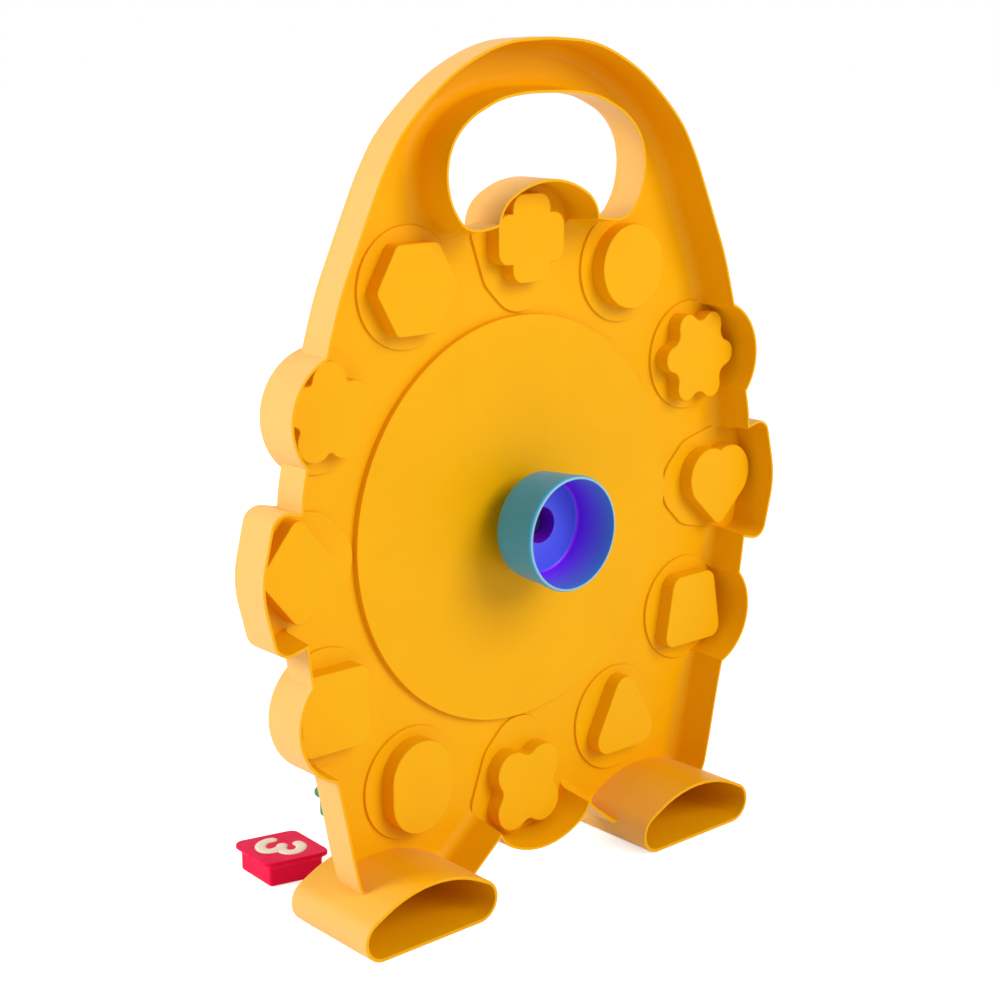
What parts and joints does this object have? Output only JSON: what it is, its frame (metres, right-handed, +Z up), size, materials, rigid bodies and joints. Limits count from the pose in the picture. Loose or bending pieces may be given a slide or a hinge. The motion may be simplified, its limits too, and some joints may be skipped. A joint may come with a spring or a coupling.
{
  "type": "shape-sorting toy clock",
  "caption": "Toddler's toy clock on two hollow feet, with a carrying handle, lift-out shaped number blocks round its rim, and hands turned by a cup knob at the back.",
  "frame": {"origin": "on the floor, at the middle of the whole footprint, which runs from the front of the loose green block to the rear of the feet", "axes": "+Z up, the dial faces -Y, the knob and the open back face +Y, +X points to three o'clock"},
  "size_m": [0.2506, 0.1248, 0.3095],
  "materials": {
    "yellow_moulding": "satin injection moulding",
    "red_block": "satin injection moulding",
    "green_block": "satin injection moulding",
    "blue_block": "satin injection moulding",
    "cream_dial": "matte injection moulding",
    "blue_knob": "glossy injection moulding",
    "steel": "turned steel"
  },
  "bodies": {
    "clock": {"housing": "yellow_moulding", "dial_plate": "cream_dial", "spindle_bush": "cream_dial"},
    "knob_train": {"turning_knob": "blue_knob", "spindle": "steel", "knob_screw": "steel", "friction_washer": "cream_dial", "minute_hand": "blue_block", "hand_washer": "cream_dial", "centre_cap": "yellow_moulding"},
    "hour_hand": {"hour_hand": "red_block"},
    "block_1": {"block_1": "blue_block"},
    "block_2": {"block_2": "green_block"},
    "block_3": {"block_3": "red_block"},
    "block_4": {"block_4": "blue_block"},
    "block_5": {"block_5": "green_block"},
    "block_6": {"block_6": "red_block"},
    "block_7": {"block_7": "blue_block"},
    "block_8": {"block_8": "green_block"},
    "block_9": {"block_9": "red_block"},
    "block_10": {"block_10": "blue_block"},
    "block_11": {"block_11": "green_block"},
    "block_12": {"block_12": "red_block"}
  },
  "joints": [
    {"name": "knob_turn", "type": "hinge", "parent": "clock", "child": "knob_train", "pos_m": [0, 0.033, 0.136], "axis": [0, 1, 0], "continuous": true},
    {"name": "hour_hand_turn", "type": "hinge", "parent": "clock", "child": "hour_hand", "pos_m": [0, 0.026, 0.136], "axis": [0, 1, 0], "continuous": true},
    {"name": "block_1_lift", "type": "slide", "parent": "clock", "child": "block_1", "axis": [0, -1, 0], "range_m": [0, 0.03]},
    {"name": "block_2_lift", "type": "slide", "parent": "clock", "child": "block_2", "axis": [0, 0, 1], "range_m": [0, 0.1]},
    {"name": "block_3_lift", "type": "slide", "parent": "clock", "child": "block_3", "axis": [0, 0, 1], "range_m": [0, 0.1]},
    {"name": "block_4_lift", "type": "slide", "parent": "clock", "child": "block_4", "axis": [0, -1, 0], "range_m": [0, 0.03]},
    {"name": "block_5_lift", "type": "slide", "parent": "clock", "child": "block_5", "axis": [0, -1, 0], "range_m": [0, 0.03]},
    {"name": "block_6_lift", "type": "slide", "parent": "clock", "child": "block_6", "axis": [0, -1, 0], "range_m": [0, 0.03]},
    {"name": "block_7_lift", "type": "slide", "parent": "clock", "child": "block_7", "axis": [0, -1, 0], "range_m": [0, 0.03]},
    {"name": "block_8_lift", "type": "slide", "parent": "clock", "child": "block_8", "axis": [0, -1, 0], "range_m": [0, 0.03]},
    {"name": "block_9_lift", "type": "slide", "parent": "clock", "child": "block_9", "axis": [0, -1, 0], "range_m": [0, 0.03]},
    {"name": "block_10_lift", "type": "slide", "parent": "clock", "child": "block_10", "axis": [0, -1, 0], "range_m": [0, 0.03]},
    {"name": "block_11_lift", "type": "slide", "parent": "clock", "child": "block_11", "axis": [0, -1, 0], "range_m": [0, 0.03]},
    {"name": "block_12_lift", "type": "slide", "parent": "clock", "child": "block_12", "axis": [0, -1, 0], "range_m": [0, 0.03]}
  ]
}
